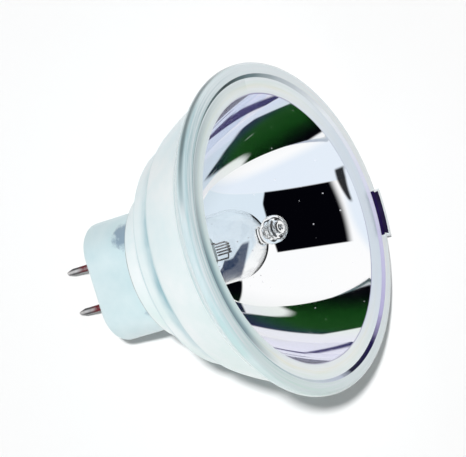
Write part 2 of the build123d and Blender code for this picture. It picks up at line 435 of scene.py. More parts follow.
def ramp(tree, factor, stops):
    """Colour ramp through (position, colour) stops."""
    node = add(tree, "ShaderNodeValToRGB", Fac=factor)
    while len(node.color_ramp.elements) < len(stops):
        node.color_ramp.elements.new(0.5)
    for element, (position, colour) in zip(node.color_ramp.elements, stops):
        element.position = position
        element.color = (*colour, 1)
    return node.outputs["Color"]


def shares(tree, factor, stops):
    """Ramp through (position, share) stops."""
    return ramp(tree, factor, [(position, (share, share, share)) for position, share in stops])


def blend(tree, factor, first, second):
    """Mix of two colours by a factor."""
    node = add(tree, "ShaderNodeMix", {"data_type": "RGBA"}, i0=factor)
    colour_sockets = node.inputs[6:8]
    for socket, colour in zip(colour_sockets, (first, second)):
        put(tree, socket, (*colour, 1) if isinstance(colour, tuple) else colour)
    return node.outputs[2]


def new_group(name, inputs, outputs):
    """An empty shader node group with float sockets."""
    group = bpy.data.node_groups.new(name, "ShaderNodeTree")
    for label, value in inputs.items():
        socket = group.interface.new_socket(label, in_out="INPUT", socket_type="NodeSocketFloat")
        socket.default_value = value
    for label in outputs:
        group.interface.new_socket(label, in_out="OUTPUT", socket_type="NodeSocketFloat")
    given = group.nodes.new("NodeGroupInput").outputs
    return group, given, group.nodes.new("NodeGroupOutput").inputs


def use_group(tree, group, **values):
    """Outputs of a placed node group with its own values."""
    return add(tree, "ShaderNodeGroup", {"node_tree": group}, **values).outputs


def new_material(name):
    """A material with its node tree and Principled shader."""
    material = bpy.data.materials.new(name)
    material.use_nodes = True
    return material, material.node_tree, material.node_tree.nodes["Principled BSDF"]


def finish(tree, shader, **values):
    """Values and links on a shader's own sockets (spaces as underscores)."""
    for key, value in values.items():
        put(tree, shader.inputs[key.replace("_", " ")], value)


def bump(tree, shader, height, strength, distance):
    """Bump from a height in millimetres."""
    node = add(tree, "ShaderNodeBump", Strength=strength, Distance=distance * MM, Height=height)
    tree.links.new(node.outputs["Normal"], shader.inputs["Normal"])


def lamp_point(tree):
    """The shaded point along the lamp's own axes, in metres."""
    place = add(tree, "ShaderNodeTexCoord").outputs["Object"]
    return add(
        tree, "ShaderNodeMapping", {"vector_type": "TEXTURE"},
        Vector=place, Location=rim_centre, Rotation=lamp_turn.to_euler(),
    ).outputs[0]


# Effects that several finishes share


def pressed_skin_group():
    """Slow waviness of glass that was pressed hot, a fine orange peel, and soft clouding."""
    group, given, result = new_group(
        "pressed skin", {"Wave Scale": 90.0, "Grain Scale": 1400.0}, ("Height", "Cloud")
    )
    place = lamp_point(group)
    wave = clouds(group, place, given["Wave Scale"], 1.0)
    grain = clouds(group, place, given["Grain Scale"], 3.0, 0.6)
    cloud = clouds(group, place, given["Wave Scale"], 4.0, 0.55)
    put(group, result["Height"], maths(group, "MULTIPLY_ADD", grain, 0.12, wave))
    put(group, result["Cloud"], spanned(group, cloud, 0.35, 0.68))
    return group


def dust_group():
    """Sparse specks of dust, of uneven size."""
    group, given, result = new_group("dust", {"Scale": 900.0, "Size": 0.14, "Amount": 0.22}, ("Specks",))
    cells = add(group, "ShaderNodeTexVoronoi", Vector=lamp_point(group), Scale=given["Scale"]).outputs
    lottery = add(group, "ShaderNodeSeparateColor", Color=cells["Color"]).outputs
    chosen = maths(group, "LESS_THAN", lottery[0], given["Amount"])
    reach = maths(group, "MULTIPLY", lottery[1], given["Size"])
    near = maths(group, "LESS_THAN", cells["Distance"], reach)
    put(group, result["Specks"], maths(group, "MULTIPLY", chosen, near))
    return group


def tarnish_group():
    """Patchy oxide and fine drawing marks of bare metal."""
    group, given, result = new_group(
        "tarnish", {"Patch Scale": 700.0, "Mark Scale": 2600.0}, ("Patches", "Marks")
    )
    place = lamp_point(group)
    patches = clouds(group, place, given["Patch Scale"], 5.0, 0.62)
    drawn = add(group, "ShaderNodeMapping", Vector=place, Scale=(1.0, 1.0, 0.06)).outputs[0]
    put(group, result["Patches"], spanned(group, patches, 0.4, 0.66))
    put(group, result["Marks"], clouds(group, drawn, given["Mark Scale"], 2.0))
    return group


def around_axis_group():
    """Place round the lamp's axis: share of a turn from +X, radius in millimetres, and running streaks."""
    group, given, result = new_group(
        "around the axis", {"Streak Scale": 3.0, "Ring Scale": 2.2}, ("Turn", "Radius", "Streaks")
    )
    place = lamp_point(group)
    parts = split(group, place)
    angle = maths(group, "ARCTAN2", parts["Y"], parts["X"])
    flat = vectors(group, "MULTIPLY", i0=place, i1=(1 / MM, 1 / MM, 0.0))
    radius = measured(group, "LENGTH", i0=flat)
    spread = vectors(group, "SCALE", i0=vectors(group, "NORMALIZE", i0=flat), Scale=given["Streak Scale"])
    rise = maths(group, "MULTIPLY", radius, given["Ring Scale"])
    tall = add(group, "ShaderNodeCombineXYZ", Z=rise).outputs[0]
    streaks = clouds(group, vectors(group, "ADD", i0=spread, i1=tall), 1.0, 3.0, 0.6)
    put(group, result["Turn"], maths(group, "FRACT", maths(group, "MULTIPLY", angle, 0.5 / pi)))
    put(group, result["Radius"], radius)
    put(group, result["Streaks"], spanned(group, streaks, 0.36, 0.66))
    return group


pressed_skin = pressed_skin_group()
dust = dust_group()
tarnish = tarnish_group()
around_axis = around_axis_group()


# Finishes

# Painted shade in the creases where the steps meet, and a dark painted line where the back step meets the
# neck: depth, reach and colour
STEP_CREASE_SHADES = (
    (bowl_end_depth - 0.3, 0.5, (0.52, 0.72, 0.76)),
    (bowl_end_depth + 0.8, 2.0, (0.26, 0.48, 0.55)),
    (front_step_depth - 0.3, 0.5, (0.48, 0.68, 0.74)),
    (front_step_depth + 1.4, 2.2, (0.25, 0.45, 0.52)),
    (back_step_depth - 0.3, 0.3, (0.03, 0.06, 0.08)),
)
STEP_CREASE_SHADE = 0.85
STEP_CREASE_SHADE_FLOOR = 0.35
# Painted shade in patches on the neck's flat, by its corners next to the back step: place along the pins'
# direction, depth and reach
NECK_SHADE_PATCHES = ((6.4, back_step_depth + 3.3, 2.3), (-5.9, back_step_depth + 2.6, 1.1))
NECK_PATCH_SHADE, NECK_PATCH_SOFT, NECK_PATCH_RAGGED = 0.8, 1.0, 3.6
NECK_TINT, NECK_TINT_RUN = 0.8, 1.0
# Shaded band round the rim's edge: its share, its middle's depth, its full half width and its faded one
RIM_BAND, RIM_BAND_DEPTH, RIM_BAND_FULL, RIM_BAND_FADED = 0.9, 0.75, 0.1, 0.6
# Shares of light that the mirror's dust and its coating on the slant give back
MIRROR_DUST, MIRROR_LEAK = 0.5, 0.10
# How much rougher oxide is than bare metal
OXIDE_ROUGHER = 0.18
# Stained ring on the pins, from the neck's end; and painted shade on the pins' sides, which starts and is
# full at these distances from each pin's middle
PIN_STAIN_PLACE, PIN_STAIN_FULL, PIN_STAIN_FADED = 4.3, 0.3, 1.5
PIN_SHADE_START, PIN_SHADE_FULL = 0.18 * PIN_RADIUS, 0.62 * PIN_RADIUS


def bowl_glass():
    """Milky pressed glass of the bowl, steps and neck, with painted shade in the creases along the steps, in
    patches on the neck's flat and on the lamp's -X side.
    """
    material, tree, shader = new_material("milky pressed glass")
    skin = use_group(tree, pressed_skin, Wave_Scale=130.0, Grain_Scale=1800.0)
    round_it = use_group(tree, around_axis, Streak_Scale=2.0, Ring_Scale=1.2)
    place = lamp_point(tree)
    height = split(tree, place)["Z"]
    grain = clouds(tree, place, 700.0, 5.0, 0.7)
    # Painted shade: greener and darker round the lamp's -X side
    tinted = ramp(tree, round_it["Turn"], [
        (0.0, (0.74, 0.90, 0.96)),
        (0.12, (0.75, 0.91, 0.95)),
        (0.28, (0.80, 0.92, 0.93)),
        (0.42, (0.72, 0.90, 0.86)),
        (0.55, (0.66, 0.87, 0.81)),
        (0.85, (0.74, 0.88, 0.90)),
        (1.0, (0.74, 0.90, 0.96)),
    ])
    colour = blend(tree, skin["Cloud"], tinted, (0.92, 0.98, 0.99))
    neck_start, neck_full = -back_step_depth * MM, -(back_step_depth + NECK_TINT_RUN) * MM
    on_neck = spanned(tree, height, neck_start, neck_full, 0.0, NECK_TINT)
    neck_tint = blend(tree, skin["Cloud"], (0.52, 0.69, 0.73), (0.66, 0.80, 0.83))
    colour = blend(tree, on_neck, colour, neck_tint)
    # Painted shade in the creases along the steps, made uneven by the streaks
    uneven = maths(tree, "ADD", round_it["Streaks"], STEP_CREASE_SHADE_FLOOR)
    for depth, reach, tint in STEP_CREASE_SHADES:
        away = maths(tree, "ABSOLUTE", maths(tree, "ADD", height, depth * MM))
        near = spanned(tree, away, 0.0, reach * MM, STEP_CREASE_SHADE, 0.0, smooth=True)
        colour = blend(tree, maths(tree, "MULTIPLY", near, uneven, clamp=True), colour, tint)
    # Painted shade in patches on the neck's flat, ragged at the edge
    for along, depth, reach in NECK_SHADE_PATCHES:
        away = measured(tree, "DISTANCE", i0=place, i1=(along * MM, NECK[1] * MM, -depth * MM))
        ragged = maths(tree, "MULTIPLY_ADD", grain, NECK_PATCH_RAGGED * MM, away)
        edge = reach + NECK_PATCH_SOFT
        neck_patch_shade = spanned(tree, ragged, (edge + NECK_PATCH_SOFT) * MM, edge * MM, 0.0, NECK_PATCH_SHADE)
        colour = blend(tree, neck_patch_shade, colour, (0.16, 0.24, 0.34))
    finish(tree, shader, Base_Color=colour, Roughness=spanned(tree, skin["Cloud"], 0.0, 1.0, 0.30, 0.42))
    finish(tree, shader, IOR=1.5, Coat_Weight=0.35, Coat_Roughness=0.16, Transmission_Weight=0.08)
    bump(tree, shader, skin["Height"], 0.35, 0.12)
    return material


def rim_glass():
    """Clearer fire-polished glass of the rim, with streaks running round it and painted shade, darker teal
    between the lamp's +X and +Y sides.
    """
    material, tree, shader = new_material("rim glass")
    skin = use_group(tree, pressed_skin, Wave_Scale=160.0, Grain_Scale=1500.0)
    round_it = use_group(tree, around_axis, Streak_Scale=1.6, Ring_Scale=2.6)
    height = split(tree, lamp_point(tree))["Z"]
    # Painted shade: darker teal between the lamp's +X and +Y sides, pale elsewhere
    rim_side_shade = ramp(tree, round_it["Turn"], [
        (0.0, (0.88, 0.94, 0.98)),
        (0.10, (0.46, 0.64, 0.68)),
        (0.25, (0.50, 0.74, 0.79)),
        (0.42, (0.70, 0.88, 0.84)),
        (0.56, (0.80, 0.90, 0.91)),
        (0.68, (0.90, 0.93, 0.94)),
        (0.88, (0.90, 0.93, 0.94)),
        (1.0, (0.88, 0.94, 0.98)),
    ])
    colour = blend(tree, round_it["Streaks"], rim_side_shade, (0.85, 0.94, 0.97))
    away = maths(tree, "ABSOLUTE", maths(tree, "ADD", height, RIM_BAND_DEPTH * MM))
    outer = spanned(tree, away, RIM_BAND_FULL * MM, RIM_BAND_FADED * MM, 1.0, 0.0, smooth=True)
    shaded = shares(tree, round_it["Turn"], [
        (0.0, 0.35), (0.06, 1.0), (0.15, 0.9), (0.22, 0.0), (0.90, 0.0), (1.0, 0.35),
    ])
    edge = maths(tree, "MULTIPLY", maths(tree, "MULTIPLY", outer, shaded), RIM_BAND)
    colour = blend(tree, edge, colour, (0.05, 0.10, 0.11))
    finish(tree, shader, Base_Color=colour, Roughness=spanned(tree, skin["Cloud"], 0.0, 1.0, 0.12, 0.24))
    finish(tree, shader, IOR=1.5, Transmission_Weight=0.12, Coat_Weight=0.4, Coat_Roughness=0.06)
    bump(tree, shader, skin["Height"], 0.25, 0.1)
    return material


def groove_coat_and_painted_reflections():
    """Groove inside the rim's land: its coating teal, pale and violet in turn round it, with painted dark
    reflections that make it nearly black in two places.
    """
    material, tree, shader = new_material("groove coat and painted reflections")
    skin = use_group(tree, pressed_skin, Wave_Scale=260.0, Grain_Scale=1800.0)
    turn = use_group(tree, around_axis, Streak_Scale=5.0, Ring_Scale=2.0)["Turn"]
    # Painted dark reflections: nearly black near the lamp's +X side and just past its -X side
    coat_with_painted_dark = ramp(tree, maths(tree, "MULTIPLY_ADD", skin["Cloud"], 0.012, turn), [
        (0.0, (0.16, 0.24, 0.26)),
        (0.045, (0.02, 0.045, 0.05)),
        (0.085, (0.10, 0.17, 0.18)),
        (0.13, (0.50, 0.68, 0.68)),
        (0.22, (0.20, 0.36, 0.38)),
        (0.38, (0.40, 0.58, 0.62)),
        (0.44, (0.70, 0.80, 0.84)),
        (0.51, (0.55, 0.60, 0.72)),
        (0.53, (0.006, 0.006, 0.03)),
        (0.59, (0.010, 0.006, 0.06)),
        (0.625, (0.45, 0.42, 0.66)),
        (0.72, (0.58, 0.57, 0.76)),
        (0.86, (0.82, 0.86, 0.90)),
        (0.95, (0.52, 0.58, 0.62)),
        (1.0, (0.16, 0.24, 0.26)),
    ])
    finish(tree, shader, Base_Color=coat_with_painted_dark, Roughness=0.35, IOR=1.45, Specular_IOR_Level=0.08)
    bump(tree, shader, skin["Height"], 0.2, 0.05)
    return material


def coated_bevel():
    """Bevel inside the rim, where the coating runs out: pale, violet at the mirror, with painted shade, dark
    teal on the lamp's +Y side and bluish on its -Y side.
    """
    material, tree, shader = new_material("coated bevel")
    skin = use_group(tree, pressed_skin, Wave_Scale=110.0, Grain_Scale=1500.0)
    round_it = use_group(tree, around_axis, Streak_Scale=2.4, Ring_Scale=3.4)
    turn = round_it["Turn"]
    outwards = spanned(tree, round_it["Radius"], mouth_radius, land_radius)
    rings = ramp(tree, outwards, [
        (0.0, (0.80, 0.86, 0.92)),
        (0.25, (0.88, 0.92, 0.92)),
        (0.45, (0.88, 0.90, 0.80)),
        (0.7, (0.82, 0.91, 0.87)),
        (1.0, (0.82, 0.90, 0.93)),
    ])
    colour = blend(tree, round_it["Streaks"], rings, (0.90, 0.95, 0.96))
    # Painted shade on the lamp's +Y side: teal, darkest near the land
    coat_with_painted_dark = ramp(tree, outwards, [
        (0.0, (0.74, 0.88, 0.88)),
        (0.35, (0.56, 0.74, 0.75)),
        (0.62, (0.22, 0.38, 0.42)),
        (0.86, (0.09, 0.18, 0.23)),
        (0.93, (0.40, 0.55, 0.60)),
        (1.0, (0.80, 0.90, 0.92)),
    ])
    at_left = shares(tree, turn, [
        (0.04, 0.15), (0.12, 0.5), (0.19, 0.55), (0.26, 1.0), (0.34, 0.95), (0.40, 0.0),
    ])
    colour = blend(tree, at_left, colour, coat_with_painted_dark)
    # Painted shade on the lamp's -Y side: bluish
    at_right = shares(tree, turn, [(0.55, 0.0), (0.66, 0.8), (0.82, 0.8), (0.92, 0.1)])
    colour = blend(tree, at_right, colour, (0.68, 0.77, 0.88))
    at_mirror = spanned(tree, outwards, 0.09, 0.0)
    violet_arcs = shares(tree, turn, [
        (0.0, 0.8), (0.06, 0.4), (0.11, 0.0), (0.40, 0.0), (0.46, 0.6),
        (0.66, 0.9), (0.78, 0.15), (0.88, 0.3), (0.95, 1.0),
    ])
    colour = blend(tree, maths(tree, "MULTIPLY", at_mirror, violet_arcs), colour, (0.10, 0.06, 0.28))
    finish(tree, shader, Base_Color=colour, Roughness=0.3, Metallic=0.15, IOR=1.5)
    finish(tree, shader, Coat_Weight=0.3, Coat_Roughness=0.08)
    bump(tree, shader, skin["Height"], 0.2, 0.08)
    return material


def mirror_coat():
    """Cold mirror: a bright coating that lets a little green through on the slant, then violet."""
    material, tree, shader = new_material("cold mirror coat")
    skin = use_group(tree, pressed_skin, Wave_Scale=60.0, Grain_Scale=900.0)
    specks = use_group(tree, dust, Scale=1000.0, Size=0.15, Amount=0.45)["Specks"]
    sheen = blend(tree, skin["Cloud"], (0.965, 0.975, 0.99), (0.985, 0.985, 0.985))
    rough = spanned(tree, skin["Cloud"], 0.0, 1.0, 0.012, 0.03)
    finish(tree, shader, Base_Color=sheen, Roughness=rough, Metallic=1.0)
    slant = add(tree, "ShaderNodeLayerWeight", Blend=0.5).outputs["Facing"]
    leak_colour = ramp(tree, slant, [
        (0.19, (0.0, 0.0, 0.0)),
        (0.27, (0.02, 0.26, 0.02)),
        (0.37, (0.05, 0.34, 0.05)),
        (0.45, (0.12, 0.13, 0.45)),
        (0.62, (0.30, 0.26, 0.70)),
        (0.80, (0.70, 0.70, 0.90)),
    ])
    dusty = blend(tree, specks, leak_colour, (0.9, 0.9, 0.95))
    leak = add(tree, "ShaderNodeBsdfPrincipled", Base_Color=dusty, Roughness=0.5)
    steep = spanned(tree, slant, 0.15, 0.27, 0.0, MIRROR_LEAK)
    share = maths(tree, "MAXIMUM", steep, maths(tree, "MULTIPLY", specks, MIRROR_DUST))
    mixed = add(tree, "ShaderNodeMixShader", i0=share, i1=shader.outputs[0], i2=leak.outputs[0])
    tree.links.new(mixed.outputs[0], tree.nodes["Material Output"].inputs["Surface"])
    return material


def pad_coat():
    """Dark violet coating on the face and the inner side of the locating pad."""
    material, tree, shader = new_material("pad coat")
    skin = use_group(tree, pressed_skin, Wave_Scale=300.0, Grain_Scale=1500.0)
    specks = use_group(tree, dust, Scale=1500.0, Size=0.2, Amount=0.12)["Specks"]
    colour = blend(tree, skin["Cloud"], (0.009, 0.004, 0.035), (0.018, 0.010, 0.06))
    colour = blend(tree, specks, colour, (0.4, 0.4, 0.5))
    finish(tree, shader, Base_Color=colour, Roughness=0.5, IOR=1.4, Specular_IOR_Level=0.04)
    bump(tree, shader, skin["Height"], 0.2, 0.05)
    return material


def quartz():
    """Clear fused quartz of the capsule, faintly wavy from the flame."""
    material, tree, shader = new_material("fused quartz")
    skin = use_group(tree, pressed_skin, Wave_Scale=240.0, Grain_Scale=700.0)
    finish(tree, shader, Base_Color=(0.985, 0.99, 0.99, 1), IOR=1.4, Transmission_Weight=1.0)
    finish(tree, shader, Roughness=spanned(tree, skin["Cloud"], 0.0, 1.0, 0.0, 0.02))
    bump(tree, shader, skin["Height"], 0.12, 0.1)
    return material


def bare_metal(name, colour, oxide_and_side_shade, roughness):
    """Bare metal with patchy oxide and drawing marks."""
    material, tree, shader = new_material(name)
    marks = use_group(tree, tarnish)
    tinted = blend(tree, marks["Patches"], colour, oxide_and_side_shade)
    rough = spanned(tree, marks["Patches"], 0.0, 1.0, roughness, roughness + OXIDE_ROUGHER)
    finish(tree, shader, Base_Color=tinted, Roughness=rough, Metallic=1.0)
    bump(tree, shader, marks["Marks"], 0.3, 0.02)
    return material


def pin_metal():
    """Plated pin, stained brown in a ring beyond the neck, with painted shade on its sides that leaves its
    middle light.
    """
    material, tree, shader = new_material("pin metal")
    marks = use_group(tree, tarnish, Patch_Scale=900.0, Mark_Scale=3200.0)
    parts = split(tree, lamp_point(tree))
    ring_height = maths(tree, "ADD", parts["Z"], (neck_end_depth + PIN_STAIN_PLACE) * MM)
    from_ring = maths(tree, "ABSOLUTE", ring_height)
    near_ring = spanned(tree, from_ring, PIN_STAIN_FADED * MM, PIN_STAIN_FULL * MM)
    patchy = maths(tree, "MULTIPLY_ADD", marks["Patches"], 0.5, 0.55)
    stain = maths(tree, "MULTIPLY", near_ring, patchy, clamp=True)
    middle_metal = blend(tree, marks["Patches"], (0.62, 0.61, 0.60), (0.42, 0.41, 0.41))
    # Painted shade on the pin's sides, full away from its middle
    from_middle = maths(tree, "SUBTRACT", maths(tree, "ABSOLUTE", parts["X"]), PIN_X * MM)
    oxide_and_side_shade = spanned(tree, maths(tree, "ABSOLUTE", from_middle), PIN_SHADE_START * MM, PIN_SHADE_FULL * MM)
    metal = blend(tree, oxide_and_side_shade, middle_metal, (0.05, 0.048, 0.05))
    colour = blend(tree, stain, metal, (0.15, 0.012, 0.02))
    finish(tree, shader, Base_Color=colour, Roughness=spanned(tree, stain, 0.0, 1.0, 0.38, 0.6))
    finish(tree, shader, Metallic=0.35, Specular_IOR_Level=0.15)
    bump(tree, shader, marks["Marks"], 0.35, 0.02)
    return material


def potting_cement():
    """Grainy off-white potting cement."""
    material, tree, shader = new_material("potting cement")
    place = lamp_point(tree)
    lumps = clouds(tree, place, 900.0, 6.0, 0.65)
    pits = add(tree, "ShaderNodeTexVoronoi", Vector=place, Scale=2600.0).outputs["Distance"]
    colour = ramp(tree, lumps, [
        (0.3, (0.56, 0.54, 0.50)),
        (0.5, (0.74, 0.73, 0.69)),
        (0.72, (0.84, 0.83, 0.80)),
    ])
    finish(tree, shader, Base_Color=colour, Roughness=0.92)
    bump(tree, shader, maths(tree, "MULTIPLY_ADD", pits, 0.5, lumps), 0.8, 0.12)
    return material


def table_top():
    """Plain white table."""
    material, tree, shader = new_material("white table")
    cloud = clouds(tree, add(tree, "ShaderNodeTexCoord").outputs["Object"], 14.0, 2.0)
    tint = blend(tree, cloud, (0.915, 0.915, 0.915), (0.925, 0.925, 0.925))
    finish(tree, shader, Base_Color=tint, Roughness=0.9, Specular_IOR_Level=0.1)
    return material


# Pieces


def reflector_rings():
    """Rings of the reflector's closed surface, from the rim round the outside and back by the mirror."""
    flare_radius = ellipse_radius(RIM_FLARE_DEPTH, bowl_radial, bowl_axial)
    bowl_end_radius = ellipse_radius(bowl_end_depth, bowl_radial, bowl_axial)
    back_root = BACK_STEP_RADIUS + (back_step_depth - front_step_depth) * STEP_SLOPE
    front_root = back_root + FRONT_STEP_SHARE * (bowl_end_radius - back_root)
    front_step_radius = front_root - (front_step_depth - bowl_end_depth) * STEP_SLOPE
    rings, zones = [], []

    def take(path, zone, outline=None):
        for radius, height in path:
            rings.append(ring(grown(outline, radius), height) if outline else round_ring(radius, height))
            zones.append(zone)

    outside = rounded([
        (RIM_RADIUS - PAD_WIDTH, 0, 0),
        (RIM_RADIUS, 0, RIM_FRONT_ROUND),
        (RIM_RADIUS, -RIM_EDGE, RIM_BACK_ROUND),
        (flare_radius, -RIM_FLARE_DEPTH, RIM_ROOT_ROUND),
        *ellipse_between(RIM_FLARE_DEPTH, bowl_end_depth, bowl_radial, bowl_axial, BOWL_RINGS),
        (bowl_end_radius, -bowl_end_depth, STEP_EDGE_ROUND),
        (front_root, -bowl_end_depth, STEP_ROOT_ROUND),
        (front_step_radius, -front_step_depth, STEP_EDGE_ROUND),
        (back_root, -front_step_depth, STEP_ROOT_ROUND),
        (BACK_STEP_RADIUS, -back_step_depth, STEP_EDGE_ROUND),
        (NECK[0], -back_step_depth, 0),
    ])[:-1]
    rim_rings = sum(1 for radius, height in outside if height > -RIM_FLARE_DEPTH)
    take(outside[:rim_rings], RIM_ZONE)
    take(outside[rim_rings:], BOWL_ZONE)
    neck = rounded([
        (NECK_ROOT_ROUND * 2, -back_step_depth, 0),
        (0, -back_step_depth, NECK_ROOT_ROUND),
        (0, -neck_end_depth, NECK_END_ROUND),
        (-NECK_END_ROUND * 2, -neck_end_depth, 0),
    ])[1:-1]
    side = neck.index(min(neck, key=lambda point: abs(point[1] + back_step_depth + NECK_ROOT_ROUND))) + 1
    between = [neck[side - 1].lerp(neck[side], step / NECK_RINGS) for step in range(1, NECK_RINGS)]
    take(neck[:side] + between + neck[side:], BOWL_ZONE, NECK)
    slot = rounded([
        (SLOT_END_ROUND * 2, -neck_end_depth, 0),
        (0, -neck_end_depth, SLOT_END_ROUND),
        (0, -slot_start_depth, 0),
    ])[1:]
    take(slot, BOWL_ZONE, SLOT)
    take([(THROAT_RADIUS, -slot_start_depth)], BOWL_ZONE)
    take([(THROAT_RADIUS, -mirror_end_depth)], MIRROR_ZONE)
    mirror = ellipse_between(mirror_end_depth, mouth_depth, mirror_radial, mirror_axial, MIRROR_RINGS)
    take([point[:2] for point in mirror], MIRROR_ZONE)
    mouth = Vector((mouth_radius, -mouth_depth))
    land = rounded([
        (*mouth, 0),
        (land_radius, -LAND_STEP, LAND_ROOT_ROUND),
        (land_radius + LAND_STEP_RUN, 0, LAND_EDGE_ROUND),
        (RIM_RADIUS - PAD_WIDTH, 0, 0),
    ], LAND_ROUND_RINGS)[1:-1]
    take([mouth.lerp(land[0], step / BEVEL_RINGS) for step in range(BEVEL_RINGS)], BEVEL_ZONE)
    take(land[:-1], GROOVE_ZONE)
    take(land[-1:], RIM_ZONE)
    return rings, zones


def raise_pad(bm, rings, made):
    """Raised pad on the rim's front, in place of the faces under it."""
    last = max(i for i in range(len(rings) // 2) if rings[i][0][2] >= -RIM_FRONT_ROUND - TOLERANCE)
    first, after = PAD_MIDDLE_COLUMN - PAD_COLUMNS, PAD_MIDDLE_COLUMN + PAD_COLUMNS
    under = {made[r][c] for r in range(last + 1) for c in range(first, after + 1)}
    old = {face for vert in under for face in vert.link_faces if set(face.verts) <= under}
    foot = [made[0][c] for c in range(first, after)] + [made[r][after] for r in range(last)]
    foot += [made[last][c] for c in range(after, first, -1)] + [made[r][first] for r in range(last, 0, -1)]
    bmesh.ops.delete(bm, geom=list(old), context="FACES_ONLY")
    bmesh.ops.delete(bm, geom=[vert for vert in under if not vert.link_faces], context="VERTS")
    angles = [atan2(vert.co.y, vert.co.x) for vert in foot]

    def loop(inside, outside, ends, height):
        known, verts = {}, []
        for vert, angle in zip(foot, angles):
            radius = min(max(vert.co.xy.length, RIM_RADIUS - PAD_WIDTH + inside), RIM_RADIUS - outside)
            angle = min(max(angle, min(angles) + ends / radius), max(angles) - ends / radius)
            point = (radius * cos(angle), radius * sin(angle), height)
            key = tuple(round(value, PAD_MERGE_DIGITS) for value in point)
            if key not in known:
                known[key] = bm.verts.new(point)
            verts.append(known[key])
        return verts

    face = loop(PAD_EDGE * 2, PAD_OUTER_BORDER, PAD_BORDER, PAD_HEIGHT)
    wall = loop(0, 0, 0, PAD_HEIGHT - PAD_EDGE)
    edge = loop(PAD_EDGE, PAD_EDGE, PAD_EDGE, PAD_HEIGHT)
    coated = after - first
    for near, far in ((foot, wall), (wall, edge), (edge, face)):
        band(bm, near, far, [PAD_ZONE] * coated + [RIM_ZONE] * (len(foot) - coated), smooth=False)
    bm.faces.new(list(dict.fromkeys(face))).material_index = PAD_ZONE


def make_reflector():
    """Reflector with its mirror, bevel, rim and the raised pad on the rim."""
    rings, zones = reflector_rings()
    bm = bmesh.new()
    raise_pad(bm, rings, closed_loft(bm, rings, zones))
    finishes = [bowl_glass(), rim_glass(), coated_bevel(), mirror_coat(), pad_coat(), groove_coat_and_painted_reflections()]
    piece_from(bm, "reflector_glass_body", finishes, "reflector", sharp=32)


def capsule_outside():
    """Rings of the capsule's outside, from its tip over the dome to the end of its flat press seal."""
    ball_turn = degrees(acos(tip_ball_foot / TIP_RADIUS)) - 90
    dome_turn = degrees(acos(TIP_STEM_RADIUS / CAPSULE_RADIUS))
    ball = arc_between((0, -tip_centre_depth), TIP_RADIUS, TIP_FIRST_ANGLE, ball_turn, TIP_RINGS)
    dome = arc_between((0, -CAPSULE_TOP_DEPTH - CAPSULE_RADIUS), CAPSULE_RADIUS, dome_turn, 0, DOME_RINGS)
    dome[0] = (*dome[0][:2], TIP_ROOT_ROUND)
    bulb = rounded([
        *ball, *dome, (CAPSULE_RADIUS, -CAPSULE_BASE_DEPTH, CAPSULE_BASE_ROUND), (0, -CAPSULE_BASE_DEPTH, 0),
    ], BASE_RINGS)[:-1]
    rings = []
    for radius, height in bulb:
        share = max(0.0, (-height - CAPSULE_BASE_DEPTH + CAPSULE_BASE_ROUND) / CAPSULE_BASE_ROUND)
        share = share * share * (3 - 2 * share)
        flat = ring(grown(SEAL, SEAL_TOP_ROUND), height)
        rings.append([Vector(a).lerp(Vector(b), share) for a, b in zip(round_ring(radius, height), flat)])
    seal = rounded([
        (SEAL_TOP_ROUND * 2, -CAPSULE_BASE_DEPTH, 0),
        (0, -CAPSULE_BASE_DEPTH, SEAL_TOP_ROUND),
        (0, -SEAL_END_DEPTH, SEAL_END_ROUND),
        (-SEAL_END_INSET, -SEAL_END_DEPTH, 0),
    ], SEAL_ROUND_RINGS)[2:]
    return rings + [ring(grown(SEAL, radius), height) for radius, height in seal]


def capsule_hollow():
    """Rings of the space inside the capsule's wall."""
    inner = CAPSULE_RADIUS - CAPSULE_WALL
    floor = -CAPSULE_BASE_DEPTH + CAPSULE_FLOOR
    section = rounded([
        *arc_between((0, -CAPSULE_TOP_DEPTH - CAPSULE_WALL - inner), inner, DOME_FIRST_ANGLE, 0, DOME_RINGS),
        (inner, floor, CAPSULE_BASE_ROUND - CAPSULE_WALL),
        (CAPSULE_POLE, floor, 0),
    ], BASE_RINGS)
    return [round_ring(radius, height) for radius, height in section]


def tip_hollow():
    """Rings of the hollow in the tip, rippled where the tube was pinched off."""
    rings = []
    for step in range(TIP_RINGS + 1):
        angle = radians(TIP_HOLLOW_FIRST_ANGLE + (180 - 2 * TIP_HOLLOW_FIRST_ANGLE) * step / TIP_RINGS)
        radius = TIP_HOLLOW_RADIUS + TIP_RIPPLE * cos(TIP_RIPPLES * angle)
        rings.append(round_ring(radius * sin(angle), radius * cos(angle) - tip_centre_depth))
    return rings


def make_capsule():
    """Quartz capsule with a real wall, a leaning tip and its flat press seal."""
    bm = bmesh.new()
    capped_loft(bm, capsule_outside())
    solid_faces = set(bm.faces)
    capped_loft(bm, capsule_hollow())
    capped_loft(bm, tip_hollow())
    hollow_faces = [face for face in bm.faces if face not in solid_faces]
    for vert in bm.verts:
        beyond = (vert.co.z + dome_foot_depth) / (dome_foot_depth - tip_centre_depth)
        vert.co.x += TIP_LEAN * max(0.0, min(1.0, beyond))
    bmesh.ops.recalc_face_normals(bm, faces=list(solid_faces))
    bmesh.ops.recalc_face_normals(bm, faces=hollow_faces)
    bmesh.ops.reverse_faces(bm, faces=hollow_faces)
    placed("quartz_capsule", mesh_from(bm, "quartz_capsule"), [quartz()], "capsule")


